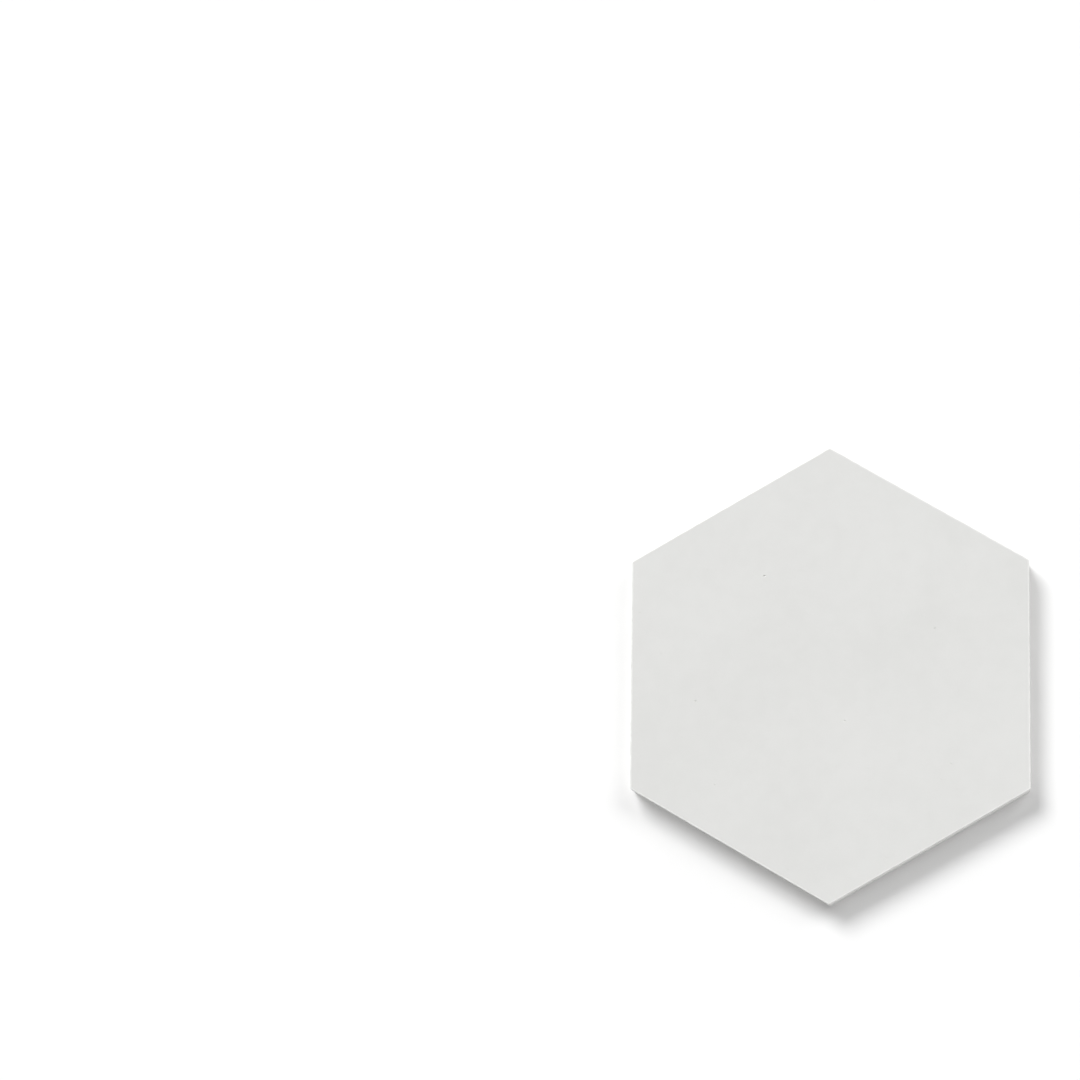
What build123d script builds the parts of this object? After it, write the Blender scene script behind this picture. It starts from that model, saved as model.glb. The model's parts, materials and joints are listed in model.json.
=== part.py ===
from build123d import *

import math
import os

# Hexagonal cement floor tile, pressed face down in a steel mould.
#
# +Z points up out of the walking face, X runs across the flats and Y across the corners.
# The origin is the centre of the bedding face. All lengths are in millimetres.

# Outline and thickness
across_flats = 200.0
thickness = 16.0

# Edge profile, from the walking face down
face_arris = 0.4
edge_land = 6.0
back_draw = 0.3
back_arris = 0.7

# Radius that is left on a corner where it meets the bedding face
corner_ease = 0.3

# Mortar key pressed into the bedding face: rings of pockets about a middle one
rim_width = 12.0
ring_count = 3
pocket_rib = 6.0
pocket_depth = 1.2
pocket_corner = 3.0
pocket_draw = 0.6

# Heights of the levels that the profile turns at
bedding_level = 0.0
land_level = thickness - edge_land

# Corners of the land, wide enough to stay round down to the bedding face
corner_radius = corner_ease + back_arris + back_draw

# Drafts, as angles from upright
side_draft = math.degrees(math.atan(back_draw / land_level))
pocket_draft = math.degrees(math.atan(pocket_draw / pocket_depth))

# Room for the key: the bedding face inside its broken edge and its rim
bedding_flats = across_flats - 2 * (back_draw + back_arris)
key_apothem = bedding_flats / 2 - rim_width

# The rings fill that room. Rows of pockets lie a pitch times cos 30 apart, and the outermost
# row reaches past its own centres by half the width of a pocket across its corners.
row_share = math.cos(math.radians(30))
reach_share = 1 / math.sqrt(3)
pocket_flats = (key_apothem - ring_count * pocket_rib * row_share) / (ring_count * row_share + reach_share)
pocket_pitch = pocket_flats + pocket_rib
row_pitch = pocket_pitch * row_share


def pocket_centres():
    """Points of a triangular grid inside a hexagon with its corners towards the tile's corners."""
    centres = []
    for row in range(-ring_count, ring_count + 1):
        first = max(-ring_count, -row - ring_count)
        last = min(ring_count, -row + ring_count)
        for step in range(first, last + 1):
            centres.append((row * row_pitch, (step + row / 2) * pocket_pitch))
    return centres


# One pocket of the key, wider at its mouth so that the press plate lifts out of it
with BuildPart() as pocket:
    with BuildSketch(Plane.XY.offset(bedding_level)) as mouth:
        RegularPolygon(pocket_flats / 2, 6, major_radius=False)
        fillet(mouth.vertices(), pocket_corner)
    extrude(amount=pocket_depth)
    walls = pocket.faces().filter_by(Axis.Z, reverse=True)
    draft(walls, neutral_plane=Plane.XY.offset(bedding_level), angle=pocket_draft)

with BuildPart() as tile:
    # Upright land under the face, where neighbouring tiles butt
    with BuildSketch(Plane.XY.offset(land_level)) as outline:
        RegularPolygon(across_flats / 2, 6, major_radius=False, rotation=30)
        fillet(outline.vertices(), corner_radius)
    extrude(amount=edge_land)

    # Body below the land, drawn in towards the back so that joints close at the face
    extrude(outline.sketch, amount=-land_level, taper=side_draft)

    # Eased edge round the walking face and broken edge round the back
    fillet(tile.faces().sort_by(Axis.Z)[-1].edges(), face_arris)
    chamfer(tile.faces().sort_by(Axis.Z)[0].edges(), back_arris)

    # Key pockets
    with Locations(*pocket_centres()):
        add(pocket.part, mode=Mode.SUBTRACT)

tile.part.label = "tile"

os.makedirs("parts", exist_ok=True)
export_step(tile.part, "parts/tile.step")
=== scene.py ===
"""A hexagonal cement tile lying face up on a white studio floor, seen from above."""

import json
import math
import random

import bmesh
import bpy
from mathutils import Matrix, Vector

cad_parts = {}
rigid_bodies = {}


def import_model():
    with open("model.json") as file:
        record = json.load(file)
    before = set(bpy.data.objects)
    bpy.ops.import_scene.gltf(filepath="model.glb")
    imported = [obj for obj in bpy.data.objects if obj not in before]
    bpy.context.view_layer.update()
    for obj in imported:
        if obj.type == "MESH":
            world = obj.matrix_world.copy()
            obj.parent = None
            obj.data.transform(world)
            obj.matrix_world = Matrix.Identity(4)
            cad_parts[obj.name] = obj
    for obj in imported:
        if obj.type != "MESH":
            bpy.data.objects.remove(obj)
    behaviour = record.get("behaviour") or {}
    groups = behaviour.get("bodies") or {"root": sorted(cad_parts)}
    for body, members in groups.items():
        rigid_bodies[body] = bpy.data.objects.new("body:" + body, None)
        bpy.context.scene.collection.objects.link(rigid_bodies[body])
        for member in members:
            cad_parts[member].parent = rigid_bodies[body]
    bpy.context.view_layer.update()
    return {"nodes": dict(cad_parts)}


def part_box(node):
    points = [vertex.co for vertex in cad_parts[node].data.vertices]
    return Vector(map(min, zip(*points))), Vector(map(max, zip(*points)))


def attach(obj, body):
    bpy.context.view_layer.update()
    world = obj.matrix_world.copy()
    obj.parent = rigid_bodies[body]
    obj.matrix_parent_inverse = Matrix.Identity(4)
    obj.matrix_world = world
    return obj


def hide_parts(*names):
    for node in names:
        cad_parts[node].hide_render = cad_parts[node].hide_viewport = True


MM = 0.001

# A factory start brings a cube, a lamp and a camera that the studio has no use for
for left_over in list(bpy.data.objects):
    bpy.data.objects.remove(left_over)

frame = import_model()

# Sizes read from the frame
_, tile_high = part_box("tile")
apothem = tile_high.x
face_level = tile_high.z

# Half the angle that each side takes up, seen from the middle
half_side_angle = math.radians(30)

# The three directions square to the sides, which serve the opposite sides too
side_turns = (0, 60, 120)
side_normals = [
    Vector((math.cos(math.radians(turn)), math.sin(math.radians(turn)), 0)) for turn in side_turns
]


# Shader maths


class Value:
    """A shader socket that takes Python's arithmetic, each operation adding a Math node."""

    def __init__(self, tree, socket):
        self.tree = tree
        self.socket = socket

    def math(self, operation, first, second=None):
        sockets = {0: first}
        if second is not None:
            sockets[1] = second
        return self.tree.node("ShaderNodeMath", {"operation": operation}, sockets)

    def __add__(self, other):
        return self.math("ADD", self, other)

    __radd__ = __add__

    def __rsub__(self, other):
        return self.math("SUBTRACT", other, self)

    def __mul__(self, other):
        return self.math("MULTIPLY", self, other)

    def __abs__(self):
        return self.math("ABSOLUTE", self)

    def larger(self, other):
        return self.math("MAXIMUM", self, other)

    def rise(self, low, high):
        """0 below low, 1 above high and smooth between them."""
        settings = {"interpolation_type": "SMOOTHSTEP", "clamp": True}
        return self.tree.node(
            "ShaderNodeMapRange", settings, {"Value": self, "From Min": low, "From Max": high}
        )

    def fall(self, low, high):
        """1 below low, 0 above high and smooth between them."""
        return 1 - self.rise(low, high)


class Tree:
    """The node tree of one material or of the world."""

    def __init__(self, owner):
        owner.use_nodes = True
        self.tree = owner.node_tree
        self.tree.nodes.clear()

    def node(self, kind, settings=None, sockets=None, output=0):
        """Adds a node, sets its settings and then its sockets, and returns one output if any."""
        made = self.tree.nodes.new(kind)
        for name, setting in (settings or {}).items():
            setattr(made, name, setting)
        for name, value in (sockets or {}).items():
            if isinstance(value, Value):
                self.tree.links.new(value.socket, made.inputs[name])
            else:
                made.inputs[name].default_value = value
        return Value(self, made.outputs[output]) if made.outputs else None

    def part_of(self, vector, axis):
        """One of a vector's three parts."""
        return self.node("ShaderNodeSeparateXYZ", None, {0: vector}, output=axis)

    def clouds(self, place, size, detail=3.0, roughness=0.5):
        """Noise from 0 to 1 with features of about that size, in metres."""
        sockets = {"Vector": place, "Scale": 1 / size, "Detail": detail, "Roughness": roughness}
        return self.node("ShaderNodeTexNoise", None, sockets)

    def blend(self, share, first, second):
        """A colour between two colours."""
        settings = {"data_type": "RGBA"}
        return self.node("ShaderNodeMix", settings, {0: share, 6: first, 7: second}, output=2)

    def seen_by_camera(self):
        """1 for what the camera looks at."""
        return self.node("ShaderNodeLightPath", output=0)

    def seen(self):
        """1 for what the camera looks at, in a glossy surface or through a clear one too."""
        in_gloss = self.node("ShaderNodeLightPath", output=3)
        through = self.node("ShaderNodeLightPath", output=6)
        return self.seen_by_camera().larger(in_gloss).larger(through)


# Materials

# Depths below the face between which the dense skin gives way to the sandy body
skin_start = 0.9 * MM
skin_end = 1.6 * MM

# Distances in from a side between which the painted highlight along the edge fades, and how strong
# that painted highlight is at the least
highlight_start = 0.4 * MM
highlight_end = 1.0 * MM
least_highlight = 0.35


def pressed_cement():
    """Off-white pressed cement: a dense smooth face, a painted highlight along the arrises, and
    sandier sides and back.
    """
    material = bpy.data.materials.new("pressed_cement")
    tree = Tree(material)
    place = tree.node("ShaderNodeTexCoord", output=3)
    across = tree.part_of(place, 0)
    along = tree.part_of(place, 1)
    height = tree.part_of(place, 2)

    # Distance in from the nearest side
    reach = abs(across)
    for normal in side_normals[1:]:
        reach = reach.larger(abs(across * normal.x + along * normal.y))
    inset = apothem - reach

    # Clouds, mottling and grains of the face, and the sand of the body
    drift = tree.clouds(place, 70 * MM, detail=2.0)
    mottle = tree.clouds(place, 9 * MM, detail=4.0, roughness=0.6)
    grain = tree.clouds(place, 0.7 * MM, detail=3.0, roughness=0.7)
    sand = tree.clouds(place, 1.3 * MM, detail=4.0, roughness=0.75)

    # Where the dense face ends and the sandy body starts, and where a painted highlight lightens
    # the edge of the face, patchy by a noise
    near_face = height.rise(face_level - skin_end, face_level - skin_start)
    body = 1 - near_face
    highlight_patches = tree.clouds(place, 5 * MM, detail=3.0, roughness=0.6).rise(0.3, 0.65)
    highlight_strength = least_highlight + highlight_patches * (1 - least_highlight)
    # Painted highlight: a pale band along every edge of the face
    painted_highlight_mask = near_face * inset.fall(highlight_start, highlight_end) * highlight_strength

    pale = (0.760, 0.761, 0.746, 1.0)
    grey = (0.722, 0.723, 0.707, 1.0)
    shade = drift * 0.45 + mottle * 0.35 + grain * 0.2
    face_colour = tree.blend(shade.rise(0.3, 0.7), grey, pale)

    # The body shows the aggregate, a little warmer and more uneven
    body_pale = (0.795, 0.791, 0.771, 1.0)
    body_grey = (0.700, 0.693, 0.670, 1.0)
    body_shade = mottle * 0.4 + sand * 0.6
    body_colour = tree.blend(body_shade.rise(0.32, 0.66), body_grey, body_pale)

    # Colour of the painted highlight along the edges of the face
    painted_highlight_colour = (0.880, 0.880, 0.865, 1.0)
    colour = tree.blend(body, face_colour, body_colour)
    colour = tree.blend(painted_highlight_mask, colour, painted_highlight_colour)

    roughness = 0.56 + mottle * 0.08 + grain * 0.06 + body * 0.2 + painted_highlight_mask * 0.1

    # Relief in millimetres
    relief = grain * 0.012 + body * sand * 0.16 + painted_highlight_mask * sand * 0.03
    bump = tree.node("ShaderNodeBump", None, {"Strength": 1.0, "Distance": MM, "Height": relief})
    surface = tree.node(
        "ShaderNodeBsdfPrincipled",
        None,
        {"Base Color": colour, "Roughness": roughness, "Normal": bump, "Specular IOR Level": 0.35},
    )
    tree.node("ShaderNodeOutputMaterial", None, {"Surface": surface})
    return material


def white_floor():
    """Matt paper that the camera sees as pure white wherever no shadow falls.

    Seen from below it is clear, so that the back of the tile can be looked at."""
    material = bpy.data.materials.new("white_floor")
    tree = Tree(material)
    under = tree.node("ShaderNodeNewGeometry", output=6)
    lit = tree.node("ShaderNodeBsdfDiffuse", None, {"Color": (0.85, 0.85, 0.85, 1.0)})
    white = tree.node("ShaderNodeBsdfDiffuse", None, {"Color": (1.03, 1.03, 1.03, 1.0)})
    clear = tree.node("ShaderNodeBsdfTransparent")
    paper = tree.node("ShaderNodeMixShader", None, {0: tree.seen(), 1: lit, 2: white})
    seen_from_below = tree.seen_by_camera() * under
    surface = tree.node("ShaderNodeMixShader", None, {0: seen_from_below, 1: paper, 2: clear})
    tree.node("ShaderNodeOutputMaterial", None, {"Surface": surface})
    return material


# Tile

# Points closer than this are one point, and faces that turn less than this are one face
same_point = 0.001 * MM
same_face = math.radians(0.05)

# Edges that turn more than this stay sharp
sharp_turn = math.radians(24)


def joined_copy(node):
    """A copy of a node's mesh with its loose triangles joined and its flat faces made whole."""
    bm = bmesh.new()
    bm.from_mesh(node.data)
    bmesh.ops.remove_doubles(bm, verts=bm.verts[:], dist=same_point)
    bmesh.ops.dissolve_limit(bm, angle_limit=same_face, verts=bm.verts[:], edges=bm.edges[:])
    mesh = bpy.data.meshes.new("pressed_tile")
    bm.to_mesh(mesh)
    bm.free()
    return mesh


def inset_of(point):
    """How far in from the nearest side a point lies."""
    return apothem - max(abs(point.dot(normal)) for normal in side_normals)


# Wear is kept off the last bit of each side, and holes this far in from the tile's outline
side_share = 0.98
outline_margin = 4 * MM


def side_place(rng):
    """The outward direction of a random side, and a random point along its middle line."""
    turn = math.radians(60 * rng.randrange(6))
    normal = Vector((math.cos(turn), math.sin(turn), 0))
    half_side = apothem * math.tan(half_side_angle)
    along = Vector((-normal.y, normal.x, 0)) * rng.uniform(-side_share, side_share) * half_side
    return normal, normal * apothem + along


def plan_place(rng):
    """A random point over the tile's plan, clear of its sides."""
    while True:
        point = Vector((rng.uniform(-apothem, apothem), rng.uniform(-tile_high.y, tile_high.y), 0))
        if inset_of(point) > outline_margin:
            return point


# Air bubbles that burst at the face, where the photograph shows them: place and width, in mm
face_pits = (
    (-32.8, 49.9, 1.3),
    (7.7, -23.6, 1.0),
    (52.8, 23.0, 1.0),
    (-67.2, -13.4, 1.0),
)

# How many there are of the smaller marks, and how wide they are at the least and most, in mm
pinhole_count = 40
pinhole_widths = (0.3, 0.6)
chip_count = 120
chip_widths = (0.25, 0.7)
side_hole_count = 90
side_hole_widths = (0.4, 1.2)
back_hole_count = 110
back_hole_widths = (0.6, 1.8)

# Depth of each kind of mark as a share of its width
pit_depth = 0.35
pinhole_depth = 0.5
chip_depth = 0.3
side_hole_depth = 0.45
back_hole_depth = 0.4

# How far holes in a side stay from the back and from the face
back_margin = 1.5 * MM
face_margin = 2 * MM

# Room between two marks, as a share of their two lengths together
mark_room = 0.75


def bites():
    """Egg shapes to cut out of the tile: centre, direction they face, width, length and depth."""
    rng = random.Random(11)
    up = Vector((0, 0, 1))
    found = []

    def bite(surface, facing, width, length, depth):
        """Keeps a bite of that size at a surface point if it is clear of the others."""
        for place, _, _, other, _ in found:
            if (place - surface).length < (length + other) * mark_room:
                return
        found.append((surface, facing, width, length, depth))

    for x, y, width in face_pits:
        pit = Vector((x * MM, y * MM, face_level))
        bite(pit, up, width * MM, width * MM, pit_depth * width * MM)
    for _ in range(pinhole_count):
        width = rng.uniform(*pinhole_widths) * MM
        bite(plan_place(rng) + up * face_level, up, width, width, width * pinhole_depth)
    for _ in range(chip_count):
        normal, middle = side_place(rng)
        width = rng.uniform(*chip_widths) * MM * rng.uniform(0.7, 1.3)
        length = width * rng.uniform(1.0, 3.0)
        facing = (normal + up).normalized()
        bite(middle + up * face_level, facing, width, length, width * chip_depth)
    for _ in range(side_hole_count):
        normal, middle = side_place(rng)
        width = rng.uniform(*side_hole_widths) * MM
        level = rng.uniform(back_margin, face_level - face_margin)
        length = width * rng.uniform(1.0, 1.6)
        bite(middle + up * level, normal, width, length, width * side_hole_depth)
    for _ in range(back_hole_count):
        width = rng.uniform(*back_hole_widths) * MM
        place = plan_place(rng)
        length = width * rng.uniform(1.0, 1.5)
        bite(place, -up, width, length, width * back_hole_depth)
    return found


def bite_cutter():
    """All the bites as one mesh of balls, each stretched and turned to its own place."""
    bm = bmesh.new()
    for surface, facing, width, length, depth in bites():
        upright = facing.to_track_quat("Z", "X").to_matrix().to_4x4()
        size = Matrix.Diagonal((length / 2, width / 2, depth, 1))
        bmesh.ops.create_icosphere(
            bm, subdivisions=2, radius=1.0, matrix=Matrix.Translation(surface) @ upright @ size
        )
    mesh = bpy.data.meshes.new("bite_cutter")
    bm.to_mesh(mesh)
    bm.free()
    return mesh


def weathered_tile():
    """The pressed tile with its pits, pinholes, chipped arrises and bubble holes."""
    tile = bpy.data.objects.new("pressed_tile", joined_copy(frame["nodes"]["tile"]))
    cutter = bpy.data.objects.new("bite_cutter", bite_cutter())
    bpy.context.scene.collection.objects.link(tile)
    bpy.context.scene.collection.objects.link(cutter)

    cut = tile.modifiers.new("bites", "BOOLEAN")
    cut.operation = "DIFFERENCE"
    cut.solver = "EXACT"
    cut.object = cutter
    shaped = tile.evaluated_get(bpy.context.evaluated_depsgraph_get())
    whole = tile.data
    tile.data = bpy.data.meshes.new_from_object(shaped)
    tile.modifiers.clear()
    tile.data.name = "pressed_tile"
    bpy.data.meshes.remove(whole)
    bpy.data.objects.remove(cutter)

    # Round what is small and keep what is flat flat
    tile.data.shade_smooth()
    tile.data.set_sharp_from_angle(angle=sharp_turn)
    flat = tile.modifiers.new("flat_faces", "WEIGHTED_NORMAL")
    flat.mode = "FACE_AREA"
    flat.weight = 100
    flat.keep_sharp = True
    return tile


tile = weathered_tile()
tile.data.materials.append(pressed_cement())
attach(tile, "root")
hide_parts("tile")


# Studio floor, open under the tile so that its back is lit when it is seen from below

floor_reach = 6.0

# How much of the tile's outline the floor runs under: its draw, its broken edge and a little more
floor_hold = 1.2 * MM


def studio_floor(reach, opening):
    """A round floor with a six-sided opening, that far across its flats, that the tile covers."""
    bm = bmesh.new()
    bmesh.ops.create_circle(bm, segments=6, radius=opening / 2 / math.cos(half_side_angle))
    bmesh.ops.create_circle(bm, segments=96, radius=reach)
    bmesh.ops.triangle_fill(bm, edges=bm.edges[:], use_beauty=True, normal=(0, 0, 1))
    mesh = bpy.data.meshes.new("studio_floor")
    bm.to_mesh(mesh)
    bm.free()
    floor = bpy.data.objects.new("studio_floor", mesh)
    bpy.context.scene.collection.objects.link(floor)
    floor.data.materials.append(white_floor())
    return floor


floor = studio_floor(reach=floor_reach, opening=2 * (apothem - floor_hold))


# Light: a soft lamp beyond each upper corner of the picture, in a room with bright walls

lamp_lean = math.radians(41.5)
lamp_width = math.radians(28)

# Which way each lamp throws its shadows, in degrees from +X, and its share of the light
lamps = {"left_lamp": (-55, 0.5), "right_lamp": (-140, 0.17)}

for lamp_name, (heading, share) in lamps.items():
    aside = math.sin(lamp_lean)
    turn = math.radians(heading)
    drop = Vector((aside * math.cos(turn), aside * math.sin(turn), -math.cos(lamp_lean)))
    lamp = bpy.data.lights.new(lamp_name, "SUN")
    lamp.angle = lamp_width
    lamp.energy = share * math.pi / math.cos(lamp_lean)
    soft_lamp = bpy.data.objects.new(lamp_name, lamp)
    soft_lamp.rotation_euler = drop.to_track_quat("-Z", "Y").to_euler()
    bpy.context.scene.collection.objects.link(soft_lamp)

# How bright the room is, and the heights between which its walls turn into its ceiling. A height
# here is the upright part of a direction, 0 for level and 1 for straight up.
wall_level = 1.1
ceiling_level = 0.13
wall_top = 0.26
ceiling_edge = 0.64

world = bpy.data.worlds.new("white_room")
bpy.context.scene.world = world
room = Tree(world)
upright = room.part_of(room.node("ShaderNodeTexCoord", output=0), 2)
glow = upright.fall(wall_top, ceiling_edge) * (wall_level - ceiling_level) + ceiling_level
direct = room.seen()
strength = direct + (1 - direct) * glow
backdrop = room.node(
    "ShaderNodeBackground", None, {"Color": (1.0, 1.0, 1.0, 1.0), "Strength": strength}
)
room.node("ShaderNodeOutputWorld", None, {"Surface": backdrop})


# Camera: a long lens nearly overhead, leaning so that the lower sides just show

lens = 135.0
sensor = 36.0

# Width of what the picture shows at the height of the face, and the point in its middle
frame_side = 0.5497
aim = Vector((-147.2 * MM, 69.1 * MM, face_level))

lean_right = math.radians(7.0)
lean_down = math.radians(9.0)
roll = math.radians(-0.73)

view = bpy.data.cameras.new("camera")
view.lens = lens
view.sensor_width = sensor
camera = bpy.data.objects.new("camera", view)
back = Vector((math.tan(lean_right), -math.tan(lean_down), 1.0)).normalized()
north = Vector((math.sin(roll), math.cos(roll), 0.0))
right = north.cross(back).normalized()
up = back.cross(right)
stand = Matrix.Translation(aim + back * (frame_side * lens / sensor))
camera.matrix_world = stand @ Matrix((right, up, back)).transposed().to_4x4()
bpy.context.scene.collection.objects.link(camera)
bpy.context.scene.camera = camera

bpy.context.scene.view_settings.view_transform = "Standard"
